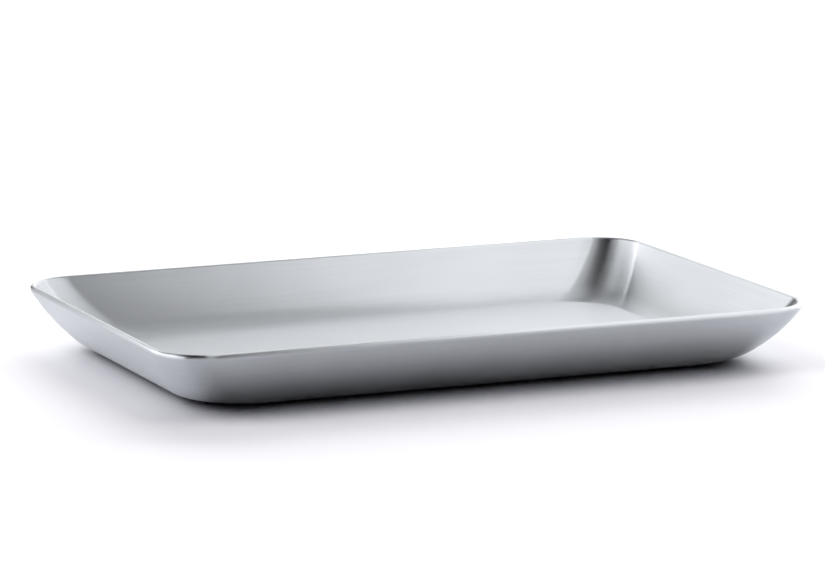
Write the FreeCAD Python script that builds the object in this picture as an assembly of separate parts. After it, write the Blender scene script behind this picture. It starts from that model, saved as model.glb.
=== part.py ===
import FreeCAD, Part
import math
import os

# A shallow rectangular tray pressed from one sheet of stainless steel, standing on four thin pads.
# Millimetres. +X runs along the tray, +Y from its front to its rear, +Z up.
# The origin is the centre of the tray's footprint, on the surface that it stands on.

# Overall sizes
tray_length = 200.0
tray_width = 133.0
tray_height = 18.6

# The sheet and its wall: a bend rises out of the flat base, and a wider arc carries on to the rim.
sheet_thickness = 2.0
bend_radius = 12.0
bend_angle = 45.0
wall_top_angle = 64.0

# Corners in plan: the rim's outermost outline, and the edge of the flat base
rim_corner_radius = 16.2
base_corner_radius = 19.2

# Anti-slip pads, glued under the flat base near its corners
pad_diameter = 10.0
pad_thickness = 0.6
pad_edge_radius = 0.2
pad_edge_margin = 5.0

# Worked out from the sizes above
round_radius = sheet_thickness / 2
bend_end = math.radians(bend_angle)
wall_end = math.radians(wall_top_angle)
quarter_turn = math.radians(90)

rim_centre_height = tray_height - round_radius
bend_centre_height = pad_thickness + round_radius + bend_radius
bend_top_height = bend_centre_height - bend_radius * math.cos(bend_end)
wall_rise = rim_centre_height - bend_top_height
wall_radius = wall_rise / (math.cos(bend_end) - math.cos(wall_end))
wall_run = bend_radius * math.sin(bend_end) + wall_radius * (math.sin(wall_end) - math.sin(bend_end))
wall_centre_inset = wall_run + (wall_radius - bend_radius) * math.sin(bend_end)
wall_centre_height = bend_centre_height + (wall_radius - bend_radius) * math.cos(bend_end)

OUTER = 1
INNER = -1


def outline(inset, outward, height, weight):
    """One level of the tray: a rounded rectangle.

    inset is how far the middle of the sheet lies inside the rim's centre line, and outward is how
    far the surface lies outside the middle of the sheet.
    """
    shift = outward - round_radius - inset
    rim_radius = rim_corner_radius - round_radius
    middle_radius = rim_radius + (base_corner_radius - rim_radius) * inset / wall_run
    return {
        "half_length": tray_length / 2 + shift,
        "half_width": tray_width / 2 + shift,
        "corner_radius": middle_radius + outward,
        "height": height,
        "weight": weight,
    }


def sheet_arc(centre_inset, centre_height, radius, start, end, side):
    """The three control levels of one face of the sheet where its wall follows a circular arc."""
    half = (end - start) / 2
    levels = []
    for angle, reach in ((start, 1), (start + half, 1 / math.cos(half)), (end, 1)):
        across = reach * math.sin(angle)
        down = reach * math.cos(angle)
        face_radius = radius + side * round_radius
        inset = centre_inset - radius * across
        outward = side * round_radius * across
        height = centre_height - face_radius * down
        levels.append(outline(inset, outward, height, 1 / reach))
    return levels


def side_poles(level):
    """Control points of a level's four straight sides and four corner arcs, as (x, y, weight) lists."""
    radius = level["corner_radius"]
    reach_x = level["half_length"]
    reach_y = level["half_width"]
    near_x = reach_x - radius
    near_y = reach_y - radius
    arc_weight = math.cos(quarter_turn / 2)
    pieces = []
    for sx, sy in ((1, 1), (-1, 1), (-1, -1), (1, -1)):
        end_side = (sx * reach_x, sy * near_y, 1)
        corner = (sx * reach_x, sy * reach_y, arc_weight)
        long_side = (sx * near_x, sy * reach_y, 1)
        if sx == sy:
            pieces.append([end_side, corner, long_side])
            pieces.append([long_side, (-sx * near_x, sy * reach_y, 1)])
        else:
            pieces.append([long_side, corner, end_side])
            pieces.append([end_side, (sx * reach_x, -sy * near_y, 1)])
    return pieces


def wall_faces(levels):
    """The eight exact faces, four sides and four corners, of one arc of the wall."""
    rings = [side_poles(level) for level in levels]
    faces = []
    for index in range(len(rings[0])):
        poles = []
        weights = []
        for level, ring in zip(levels, rings):
            poles.append([FreeCAD.Vector(x, y, level["height"]) for x, y, weight in ring[index]])
            weights.append([weight * level["weight"] for x, y, weight in ring[index]])
        level_count = len(poles)
        point_count = len(poles[0])
        surface = Part.BSplineSurface()
        surface.buildFromPolesMultsKnots(
            poles, [level_count] * 2, [point_count] * 2, [0, 1], [0, 1],
            False, False, level_count - 1, point_count - 1, weights)
        faces.append(surface.toShape())
    return faces


def flat_face(level):
    """The flat rounded rectangle that closes the sheet at one level."""
    edges = []
    for piece in side_poles(level):
        points = [FreeCAD.Vector(x, y, level["height"]) for x, y, weight in piece]
        if len(piece) == 2:
            edges.append(Part.makeLine(points[0], points[1]))
        else:
            curve = Part.BezierCurve()
            curve.setPoles(points)
            curve.setWeight(2, piece[1][2])
            edges.append(curve.toShape())
    return Part.Face(Part.Wire(edges))


def make_tray_shell():
    """The pressed sheet: flat base, bend, wall and a fully rounded rim."""
    bend = (wall_run, bend_centre_height, bend_radius)
    wall = (wall_centre_inset, wall_centre_height, wall_radius)
    rim = (0, rim_centre_height, 0)
    arcs = [
        sheet_arc(*bend, 0, bend_end, OUTER),
        sheet_arc(*wall, bend_end, wall_end, OUTER),
        sheet_arc(*rim, wall_end, wall_end + quarter_turn, OUTER),
        sheet_arc(*rim, wall_end + quarter_turn, wall_end + 2 * quarter_turn, OUTER),
        sheet_arc(*wall, wall_end, bend_end, INNER),
        sheet_arc(*bend, bend_end, 0, INNER),
    ]
    faces = [flat_face(arcs[0][0]), flat_face(arcs[-1][-1])]
    for levels in arcs:
        faces += wall_faces(levels)
    solid = Part.makeSolid(Part.makeShell(faces))
    if solid.Volume < 0:
        solid.reverse()
    return solid


def make_pad(side_x, side_y):
    """One round pad, set in from the edge of the flat base at a corner, with its lower edge eased."""
    pad_radius = pad_diameter / 2
    from_corner_centre = (base_corner_radius - pad_edge_margin - pad_radius) / math.sqrt(2)
    flat_half_length = tray_length / 2 - round_radius - wall_run
    flat_half_width = tray_width / 2 - round_radius - wall_run
    x = side_x * (flat_half_length - base_corner_radius + from_corner_centre)
    y = side_y * (flat_half_width - base_corner_radius + from_corner_centre)
    pad = Part.makeCylinder(pad_radius, pad_thickness, FreeCAD.Vector(x, y, 0))
    lower_edges = [edge for edge in pad.Edges if edge.BoundBox.ZMax < pad_thickness / 2]
    return pad.makeFillet(pad_edge_radius, lower_edges)


nodes = {"tray_shell": make_tray_shell()}
for row_name, side_y in (("front", -1), ("rear", 1)):
    for end_name, side_x in (("left", -1), ("right", 1)):
        nodes[f"{row_name}_{end_name}_pad"] = make_pad(side_x, side_y)

os.makedirs("parts", exist_ok=True)
for name, shape in nodes.items():
    shape.exportStep(f"parts/{name}.step")
    box = shape.BoundBox
    print(f"{name}: {len(shape.Solids)} solid, valid {shape.isValid()}, {shape.Volume:.1f} mm3")
    print(f"    low corner {box.XMin:.2f}, {box.YMin:.2f}, {box.ZMin:.2f}")
    print(f"    high corner {box.XMax:.2f}, {box.YMax:.2f}, {box.ZMax:.2f}")
print(f"wall radius {wall_radius:.2f}, wall run {wall_run:.2f}")
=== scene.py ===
import math

import bmesh
import bpy
from mathutils import Matrix, Vector


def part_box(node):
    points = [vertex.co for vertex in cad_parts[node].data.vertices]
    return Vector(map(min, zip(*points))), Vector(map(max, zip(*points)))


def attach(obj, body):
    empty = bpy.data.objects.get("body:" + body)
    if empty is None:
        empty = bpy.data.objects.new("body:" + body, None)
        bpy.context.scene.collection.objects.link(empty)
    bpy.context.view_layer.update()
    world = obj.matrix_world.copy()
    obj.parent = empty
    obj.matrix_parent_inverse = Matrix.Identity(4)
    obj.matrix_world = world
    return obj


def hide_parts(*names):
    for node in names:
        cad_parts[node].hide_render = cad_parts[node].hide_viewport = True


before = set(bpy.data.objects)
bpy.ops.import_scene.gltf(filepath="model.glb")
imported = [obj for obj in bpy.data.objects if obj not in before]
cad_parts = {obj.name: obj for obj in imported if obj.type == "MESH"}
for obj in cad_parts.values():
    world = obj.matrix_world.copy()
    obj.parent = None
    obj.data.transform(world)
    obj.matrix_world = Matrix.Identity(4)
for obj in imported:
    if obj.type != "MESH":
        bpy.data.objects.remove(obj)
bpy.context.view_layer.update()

# The tray's box comes from its CAD part in model.glb. The sheet's own sizes are in metres.
SHELL_LOW, SHELL_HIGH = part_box("tray_shell")
HALF_LENGTH = (SHELL_HIGH.x - SHELL_LOW.x) / 2
HALF_WIDTH = (SHELL_HIGH.y - SHELL_LOW.y) / 2
SHEET = 0.002
BEND_RADIUS = 0.012
BEND_ANGLE = math.radians(45)
WALL_TOP_ANGLE = math.radians(64)
RIM_CORNER_RADIUS = 0.0162
BASE_CORNER_RADIUS = 0.0192

ROUND = SHEET / 2
RIM_HEIGHT = SHELL_HIGH.z - ROUND
BEND_HEIGHT = SHELL_LOW.z + ROUND + BEND_RADIUS
WALL_RISE = RIM_HEIGHT - (BEND_HEIGHT - BEND_RADIUS * math.cos(BEND_ANGLE))
WALL_RADIUS = WALL_RISE / (math.cos(BEND_ANGLE) - math.cos(WALL_TOP_ANGLE))
BEND_RUN = BEND_RADIUS * math.sin(BEND_ANGLE)
WALL_RUN = BEND_RUN + WALL_RADIUS * (math.sin(WALL_TOP_ANGLE) - math.sin(BEND_ANGLE))

OUTER = 1
INNER = -1

# Facets of the mesh: around each corner, up the bend, up the wall, over the rim
CORNER_STEPS = 32
BEND_STEPS = 14
WALL_STEPS = 14
RIM_STEPS = 20

# A narrow border of faces round each flat, how level a flat face is, and how close points are joined
FLAT_BORDER = 0.004
FLAT_NORMAL = 0.9999
MERGE = 1e-6

PAD_NODES = ("front_left_pad", "front_right_pad", "rear_left_pad", "rear_right_pad")
PAD_EDGE_RADIUS = 0.0002
PAD_SEGMENTS = 64
PAD_EDGE_STEPS = 4

# Sizes of the finishes' patterns, and the range that most of their noise lies in
NOISE_LOW = 0.3
NOISE_HIGH = 0.7
SCRATCH_LENGTH = 0.016
SCRATCH_WIDTH = 0.0002
SCRATCH_DEPTH = 0.00002
BAND_LENGTH = 0.05
BAND_WIDTH = 0.0007
HANDLING_SIZE = 0.03
PAD_GRAIN = 0.0002
PAD_GRAIN_DEPTH = 0.00003
PAD_BLOOM = 0.002

# Colours and roughness of the finishes
STEEL_DARK = (0.605, 0.628, 0.655)
STEEL_LIGHT = (0.635, 0.658, 0.686)
STEEL_ROUGHNESS_LOW = 0.325
STEEL_ROUGHNESS_HIGH = 0.375
HANDLING_ROUGHNESS = 0.012
CREST_POLISH = 0.06
PAD_DARK = (0.05, 0.05, 0.052)
PAD_LIGHT = (0.085, 0.085, 0.088)
PAD_ROUGHNESS_LOW = 0.55
PAD_ROUGHNESS_HIGH = 0.72

# The camera looks at a point on the floor behind the tray. Its azimuth is in degrees from straight in front.
CAMERA_LENS = 201.4
CAMERA_DISTANCE = 1.4604
CAMERA_AZIMUTH = -23.32
CAMERA_ELEVATION = 10.43
CAMERA_TARGET = Vector((0.04274, 0.09964, 0))

# The floor. Where the steel reflects it under the tray, its colour is painted dark as a painted shade, which
# fades out across the rim's outline.
# The dark patch is shorter than the tray, by the same gap at each end.
FLOOR_REACH = 6
FLOOR_COLOUR = (0.89, 0.885, 0.93)
FLOOR_PAINTED_SHADE = (0.02, 0.02, 0.02)
PAINTED_SHADE_START = -0.01
PAINTED_SHADE_END = 0.005
PAINTED_SHADE_END_GAP = 0.012


def add_object(name, bm):
    """An object at the origin made from a finished bmesh."""
    mesh = bpy.data.meshes.new(name)
    bm.to_mesh(mesh)
    bm.free()
    piece = bpy.data.objects.new(name, mesh)
    bpy.context.scene.collection.objects.link(piece)
    return piece


def section():
    """The sheet's cross-section as (inset, outward, height) stations, from the base edge to the floor edge.

    inset is how far the middle of the sheet lies inside the rim's centre line, and outward is how far
    the surface lies outside the middle of the sheet.
    """
    bend = (WALL_RUN, BEND_HEIGHT, BEND_RADIUS)
    rise = WALL_RADIUS - BEND_RADIUS
    wall_inset = WALL_RUN + rise * math.sin(BEND_ANGLE)
    wall = (wall_inset, BEND_HEIGHT + rise * math.cos(BEND_ANGLE), WALL_RADIUS)
    rim = (0, RIM_HEIGHT, 0)
    arcs = [
        (bend, 0, BEND_ANGLE, BEND_STEPS, OUTER),
        (wall, BEND_ANGLE, WALL_TOP_ANGLE, WALL_STEPS, OUTER),
        (rim, WALL_TOP_ANGLE, WALL_TOP_ANGLE + math.pi, RIM_STEPS, OUTER),
        (wall, WALL_TOP_ANGLE, BEND_ANGLE, WALL_STEPS, INNER),
        (bend, BEND_ANGLE, 0, BEND_STEPS, INNER),
    ]
    stations = []
    for (inset, height, radius), start, end, steps, side in arcs:
        first = 1 if stations else 0
        for step in range(first, steps + 1):
            angle = start + (end - start) * step / steps
            across = math.sin(angle)
            stations.append((
                inset - radius * across,
                side * ROUND * across,
                height - (radius + side * ROUND) * math.cos(angle)))
    return stations


def quarter_ring(bm, layers, half_length, half_width, radius, height, rise):
    """A quarter of a rounded rectangle's edge: half a long side, a spun corner and half a short side.

    Each vertex keeps how far round the tray it lies, and how far along the sheet's cross-section.
    """
    near_x = half_length - radius
    near_y = half_width - radius
    centre = Vector((near_x, near_y, height))
    known = len(bm.verts)
    corner_start = bm.verts.new((near_x, half_width, height))
    spun = bmesh.ops.spin(
        bm, geom=[corner_start], cent=centre, axis=(0, 0, -1), angle=math.pi / 2, steps=CORNER_STEPS)
    corner_end = next(item for item in spun["geom_last"] if isinstance(item, bmesh.types.BMVert))
    bm.edges.new((bm.verts.new((0, half_width, height)), corner_start))
    bm.edges.new((corner_end, bm.verts.new((half_length, 0, height))))
    bm.verts.ensure_lookup_table()
    ring = bm.verts[known:]
    for vert in ring:
        out = vert.co - centre
        if out.x < 0:
            around = vert.co.x
        elif out.y < 0:
            around = near_x + radius * math.pi / 2 - out.y
        else:
            around = near_x + radius * math.atan2(out.x, out.y)
        vert[layers["around"]] = around
        vert[layers["rise"]] = rise
    return list({edge for vert in ring for edge in vert.link_edges if not edge.link_faces})


def unwrap_grain(bm, layers):
    """UVs in metres whose U runs along the brushing: round the walls, and straight along the flats."""
    uv = bm.loops.layers.uv.new("grain")
    for face in bm.faces:
        middle = face.calc_center_median()
        mirrored = math.copysign(1, middle.x) * math.copysign(1, middle.y)
        flat = abs(face.normal.z) > FLAT_NORMAL
        for loop in face.loops:
            if flat:
                loop[uv].uv = loop.vert.co.xy
            else:
                loop[uv].uv = (mirrored * loop.vert[layers["around"]], loop.vert[layers["rise"]])


def make_wall_quarter(bm, layers):
    """A quarter of the sheet's wall: a ring at each station of its cross-section, bridged to the last one."""
    rim_radius = RIM_CORNER_RADIUS - ROUND
    rise = 0
    last_ring = None
    last_place = None
    for inset, outward, height in section():
        shift = outward - ROUND - inset
        radius = rim_radius + (BASE_CORNER_RADIUS - rim_radius) * inset / WALL_RUN + outward
        place = Vector((shift, height))
        if last_ring:
            rise += (place - last_place).length
        ring = quarter_ring(bm, layers, HALF_LENGTH + shift, HALF_WIDTH + shift, radius, height, rise)
        if last_ring:
            bmesh.ops.bridge_loops(bm, edges=last_ring + ring)
        last_ring = ring
        last_place = place


def open_rings(bm):
    """The two open edges left round the base and round the floor, lower one first."""
    border = [edge for edge in bm.edges if len(edge.link_faces) == 1]
    low = min(edge.verts[0].co.z for edge in border)
    lower = [edge for edge in border if edge.verts[0].co.z < low + ROUND]
    upper = [edge for edge in border if edge.verts[0].co.z >= low + ROUND]
    return lower, upper


def make_shell():
    """The pressed sheet as a closed mesh: a quarter of its wall mirrored, then its flats filled in."""
    bm = bmesh.new()
    layers = {name: bm.verts.layers.float.new(name) for name in ("around", "rise")}
    make_wall_quarter(bm, layers)
    for axis in ("X", "Y"):
        bmesh.ops.mirror(bm, geom=bm.verts[:] + bm.edges[:] + bm.faces[:], axis=axis, merge_dist=MERGE)
    for edges in open_rings(bm):
        flat = bmesh.ops.contextual_create(bm, geom=edges)["faces"]
        bmesh.ops.inset_region(bm, faces=flat, thickness=FLAT_BORDER, use_even_offset=True)
    bmesh.ops.recalc_face_normals(bm, faces=bm.faces)
    unwrap_grain(bm, layers)
    for face in bm.faces:
        face.smooth = True
    return add_object("pressed_tray", bm)


def noise(tree, vector, detail, roughness):
    node = tree.nodes.new("ShaderNodeTexNoise")
    node.inputs["Scale"].default_value = 1
    node.inputs["Detail"].default_value = detail
    node.inputs["Roughness"].default_value = roughness
    tree.links.new(vector, node.inputs["Vector"])
    return node.outputs["Fac"]


def remap(tree, value, start, end, low, high):
    """The value, stretched so that start becomes low and end becomes high, and clamped beyond them."""
    node = tree.nodes.new("ShaderNodeMapRange")
    node.inputs["From Min"].default_value = start
    node.inputs["From Max"].default_value = end
    node.inputs["To Min"].default_value = low
    node.inputs["To Max"].default_value = high
    tree.links.new(value, node.inputs["Value"])
    return node.outputs["Result"]


def calculate(tree, operation, first, second):
    """A sum of one kind on a node's output and either another output or a plain number."""
    node = tree.nodes.new("ShaderNodeMath")
    node.operation = operation
    tree.links.new(first, node.inputs[0])
    if isinstance(second, float):
        node.inputs[1].default_value = second
    else:
        tree.links.new(second, node.inputs[1])
    return node.outputs["Value"]


def blend_colours(tree, factor, first, second):
    node = tree.nodes.new("ShaderNodeMix")
    node.data_type = "RGBA"
    node.inputs["A"].default_value = (*first, 1)
    node.inputs["B"].default_value = (*second, 1)
    tree.links.new(factor, node.inputs["Factor"])
    return node.outputs["Result"]


def add_bump(tree, height, strength, distance):
    bump = tree.nodes.new("ShaderNodeBump")
    bump.inputs["Strength"].default_value = strength
    bump.inputs["Distance"].default_value = distance
    tree.links.new(height, bump.inputs["Height"])
    tree.links.new(bump.outputs["Normal"], tree.nodes["Principled BSDF"].inputs["Normal"])


def place_vector(tree, size):
    """Object coordinates counted in cells of this size, in metres."""
    place = tree.nodes.new("ShaderNodeTexCoord")
    scaled = tree.nodes.new("ShaderNodeMapping")
    scaled.inputs["Scale"].default_value = (1 / size, 1 / size, 1 / size)
    tree.links.new(place.outputs["Object"], scaled.inputs["Vector"])
    return scaled.outputs["Vector"]


def grain_vector(tree, length, width):
    """Coordinates in cells drawn out along the brushing: length along it, width across it, in metres."""
    place = tree.nodes.new("ShaderNodeTexCoord")
    split_place = tree.nodes.new("ShaderNodeSeparateXYZ")
    split_grain = tree.nodes.new("ShaderNodeSeparateXYZ")
    joined = tree.nodes.new("ShaderNodeCombineXYZ")
    scaled = tree.nodes.new("ShaderNodeMapping")
    scaled.inputs["Scale"].default_value = (1 / length, 1 / length, 1 / width)
    tree.links.new(place.outputs["Object"], split_place.inputs["Vector"])
    tree.links.new(place.outputs["UV"], split_grain.inputs["Vector"])
    tree.links.new(split_place.outputs["X"], joined.inputs["X"])
    tree.links.new(split_place.outputs["Y"], joined.inputs["Y"])
    tree.links.new(split_grain.outputs["Y"], joined.inputs["Z"])
    tree.links.new(joined.outputs["Vector"], scaled.inputs["Vector"])
    return scaled.outputs["Vector"]


def height_of(tree):
    place = tree.nodes.new("ShaderNodeTexCoord")
    split = tree.nodes.new("ShaderNodeSeparateXYZ")
    tree.links.new(place.outputs["Object"], split.inputs["Vector"])
    return split.outputs["Z"]


def satin_steel():
    """Stainless steel with a fine brushed satin finish, a little more polished along the crest of the rim."""
    material = bpy.data.materials.new("satin_steel")
    material.use_nodes = True
    tree = material.node_tree
    shader = tree.nodes["Principled BSDF"]
    shader.inputs["Metallic"].default_value = 1
    shader.inputs["Anisotropic"].default_value = 1
    shader.inputs["Anisotropic Rotation"].default_value = 0.25
    tangent = tree.nodes.new("ShaderNodeTangent")
    tangent.direction_type = "UV_MAP"
    tangent.uv_map = "grain"
    tree.links.new(tangent.outputs["Tangent"], shader.inputs["Tangent"])

    scratches = noise(tree, grain_vector(tree, SCRATCH_LENGTH, SCRATCH_WIDTH), detail=3, roughness=0.6)
    bands = noise(tree, grain_vector(tree, BAND_LENGTH, BAND_WIDTH), detail=4, roughness=0.6)
    handling = noise(tree, place_vector(tree, HANDLING_SIZE), detail=2, roughness=0.5)
    crest = height_of(tree)

    roughness = remap(tree, scratches, NOISE_LOW, NOISE_HIGH, STEEL_ROUGHNESS_LOW, STEEL_ROUGHNESS_HIGH)
    worn = remap(tree, handling, NOISE_LOW, NOISE_HIGH, -HANDLING_ROUGHNESS, HANDLING_ROUGHNESS)
    polished = remap(tree, crest, RIM_HEIGHT, SHELL_HIGH.z, 0, -CREST_POLISH)
    roughness = calculate(tree, "ADD", roughness, worn)
    roughness = calculate(tree, "ADD", roughness, polished)
    tree.links.new(roughness, shader.inputs["Roughness"])
    tint = remap(tree, bands, NOISE_LOW, NOISE_HIGH, 0, 1)
    colour = blend_colours(tree, tint, STEEL_DARK, STEEL_LIGHT)
    tree.links.new(colour, shader.inputs["Base Color"])
    add_bump(tree, scratches, strength=0.12, distance=SCRATCH_DEPTH)
    return material


def pad_silicone():
    """Soft dark silicone with a fine moulded grain and a faint bloom."""
    material = bpy.data.materials.new("pad_silicone")
    material.use_nodes = True
    tree = material.node_tree
    shader = tree.nodes["Principled BSDF"]
    shader.inputs["Sheen Weight"].default_value = 0.2
    shader.inputs["IOR"].default_value = 1.41
    grain = noise(tree, place_vector(tree, PAD_GRAIN), detail=2, roughness=0.5)
    bloom = noise(tree, place_vector(tree, PAD_BLOOM), detail=3, roughness=0.6)
    tint = remap(tree, bloom, NOISE_LOW, NOISE_HIGH, 0, 1)
    colour = blend_colours(tree, tint, PAD_DARK, PAD_LIGHT)
    tree.links.new(colour, shader.inputs["Base Color"])
    roughness = remap(tree, bloom, NOISE_LOW, NOISE_HIGH, PAD_ROUGHNESS_LOW, PAD_ROUGHNESS_HIGH)
    tree.links.new(roughness, shader.inputs["Roughness"])
    add_bump(tree, grain, strength=0.4, distance=PAD_GRAIN_DEPTH)
    return material


def round_pad(low, high):
    """A disc that fills this box, with its lower edge rounded and a narrow border round each flat side."""
    middle = (low + high) / 2
    bm = bmesh.new()
    bmesh.ops.create_circle(
        bm, cap_ends=True, segments=PAD_SEGMENTS, radius=(high.x - low.x) / 2,
        matrix=Matrix.Translation((middle.x, middle.y, low.z)))
    raised = bmesh.ops.extrude_face_region(bm, geom=bm.faces[:], use_keep_orig=True)
    top = [item for item in raised["geom"] if isinstance(item, bmesh.types.BMVert)]
    bmesh.ops.translate(bm, verts=top, vec=(0, 0, high.z - low.z))
    bmesh.ops.recalc_face_normals(bm, faces=bm.faces)
    lower_edge = [edge for edge in bm.edges if max(vert.co.z for vert in edge.verts) < middle.z]
    bmesh.ops.bevel(
        bm, geom=lower_edge, offset=PAD_EDGE_RADIUS, segments=PAD_EDGE_STEPS, affect="EDGES",
        profile=0.5, material=-1)
    caps = [face for face in bm.faces if len(face.verts) == PAD_SEGMENTS]
    for cap in caps:
        bmesh.ops.inset_region(bm, faces=[cap], thickness=PAD_EDGE_RADIUS, use_even_offset=True)
    for face in bm.faces:
        face.smooth = abs(face.normal.z) < FLAT_NORMAL
    return bm


def make_pad(node, finish):
    """A round anti-slip pad at the place of its CAD node."""
    pad = add_object(node + "_silicone", round_pad(*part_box(node)))
    pad.data.materials.append(finish)
    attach(pad, "root")
    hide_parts(node)
    return pad


def add_camera():
    data = bpy.data.cameras.new("camera")
    data.sensor_width = 36
    data.lens = CAMERA_LENS
    camera = bpy.data.objects.new("camera", data)
    azimuth = math.radians(CAMERA_AZIMUTH)
    elevation = math.radians(CAMERA_ELEVATION)
    back = Vector((
        math.sin(azimuth) * math.cos(elevation),
        -math.cos(azimuth) * math.cos(elevation),
        math.sin(elevation)))
    camera.location = CAMERA_TARGET + back * CAMERA_DISTANCE
    camera.rotation_euler = back.to_track_quat("Z", "Y").to_euler()
    bpy.context.scene.collection.objects.link(camera)
    bpy.context.scene.camera = camera


def beyond_painted_shade(tree):
    """How far a point of the floor lies outside the painted shade under the tray, in metres."""
    place = tree.nodes.new("ShaderNodeTexCoord")
    split = tree.nodes.new("ShaderNodeSeparateXYZ")
    tree.links.new(place.outputs["Object"], split.inputs["Vector"])
    along = calculate(tree, "ABSOLUTE", split.outputs["X"], 0.0)
    across = calculate(tree, "ABSOLUTE", split.outputs["Y"], 0.0)
    past_end = calculate(tree, "SUBTRACT", along, HALF_LENGTH - PAINTED_SHADE_END_GAP)
    past_side = calculate(tree, "SUBTRACT", across, HALF_WIDTH)
    return calculate(tree, "MAXIMUM", past_end, past_side)


def add_floor():
    """A pale floor with a painted shade: its colour in the steel's reflection is painted dark where the tray
    stands over it.
    """
    bm = bmesh.new()
    bmesh.ops.create_grid(bm, x_segments=1, y_segments=1, size=FLOOR_REACH)
    floor = add_object("floor", bm)
    material = bpy.data.materials.new("pale_floor_with_painted_shade")
    material.use_nodes = True
    tree = material.node_tree
    shader = tree.nodes["Principled BSDF"]
    path = tree.nodes.new("ShaderNodeLightPath")
    # Painted shade: in glossy rays only, the floor's colour goes dark under the tray and fades out past the
    # rim.
    painted_shade = remap(tree, beyond_painted_shade(tree), PAINTED_SHADE_START, PAINTED_SHADE_END, 1, 0)
    painted_shade_in_reflection = calculate(tree, "MULTIPLY", painted_shade, path.outputs["Is Glossy Ray"])
    colour = blend_colours(tree, painted_shade_in_reflection, FLOOR_COLOUR, FLOOR_PAINTED_SHADE)
    tree.links.new(colour, shader.inputs["Base Color"])
    shader.inputs["Roughness"].default_value = 0.7
    floor.data.materials.append(material)
    return floor


def add_softbox(name, receivers, azimuth, elevation, distance, width, height, radiance):
    """A rectangular softbox aimed at the tray, which lights only the receivers.

    Azimuth 0 is behind the tray and 90 to its right. The distance and the sizes are in metres.
    """
    data = bpy.data.lights.new(name, "AREA")
    data.shape = "RECTANGLE"
    data.size = width
    data.size_y = height
    data.energy = math.pi * width * height * radiance
    softbox = bpy.data.objects.new(name, data)
    turn = math.radians(azimuth)
    lift = math.radians(elevation)
    toward = Vector((math.sin(turn) * math.cos(lift), math.cos(turn) * math.cos(lift), math.sin(lift)))
    softbox.location = toward * distance
    softbox.rotation_euler = toward.to_track_quat("Z", "Y").to_euler()
    softbox.visible_camera = False
    softbox.light_linking.receiver_collection = receivers
    bpy.context.scene.collection.objects.link(softbox)


def add_world():
    """A white room that is seen behind the tray but gives no light of its own."""
    world = bpy.data.worlds.new("white_room")
    world.use_nodes = True
    tree = world.node_tree
    background = tree.nodes["Background"]
    background.inputs["Color"].default_value = (1, 1, 1, 1)
    path = tree.nodes.new("ShaderNodeLightPath")
    tree.links.new(path.outputs["Is Camera Ray"], background.inputs["Strength"])
    bpy.context.scene.world = world


def group(name, members):
    collection = bpy.data.collections.new(name)
    for member in members:
        collection.objects.link(member)
    return collection


def add_lights(tray_parts, floor):
    """Softboxes whose reflections shape the steel, and softboxes for the floor that shape the shadow.

    Each line gives azimuth, elevation, distance, width, height and radiance.
    """
    tray_group = group("tray_parts", tray_parts)
    add_softbox("rear_softbox", tray_group, 42, 24, 2.6, 3.5, 1.4, 1.45)
    add_softbox("rear_high_softbox", tray_group, 32, 49, 1.9, 0.5, 0.6, 0.6)
    add_softbox("rear_low_softbox", tray_group, 42, 5, 2.2, 2.4, 0.4, 1)
    add_softbox("front_softbox", tray_group, 190, 14, 1.5, 2.2, 0.5, 0.45)
    add_softbox("right_softbox", tray_group, 111, 39, 0.26, 0.45, 0.34, 1.45)
    add_softbox("left_softbox", tray_group, 291, 25, 1.6, 3.2, 0.95, 2.5)
    add_softbox("rear_left_softbox", tray_group, 342, 22, 2.2, 0.7, 0.9, 1.15)
    add_softbox("left_high_softbox", tray_group, 298, 52, 1.6, 0.8, 0.4, 1)
    add_softbox("top_softbox", tray_group, 109, 85, 1.22, 4.9, 0.35, 0.7)
    floor_group = group("floor_only", [floor])
    add_softbox("rear_floor_softbox", floor_group, 34, 24, 2.6, 4.4, 1.4, 4.9)
    add_softbox("right_floor_softbox", floor_group, 90, 62, 1.8, 1.6, 1.4, 1.4)
    add_softbox("left_floor_softbox", floor_group, 270, 62, 1.8, 1.6, 1.4, 1.3)
    add_softbox("ceiling_floor_softbox", floor_group, 0, 90, 4, 9, 9, 0.2)
    add_softbox("rear_left_floor_softbox", floor_group, 290, 38, 2.2, 1.8, 1.2, 2.7)


add_camera()
add_world()
floor = add_floor()
tray = make_shell()
tray.data.materials.append(satin_steel())
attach(tray, "root")
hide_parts("tray_shell")
silicone = pad_silicone()
pads = [make_pad(node, silicone) for node in PAD_NODES]
add_lights([tray, *pads], floor)
bpy.context.scene.view_settings.view_transform = "Standard"
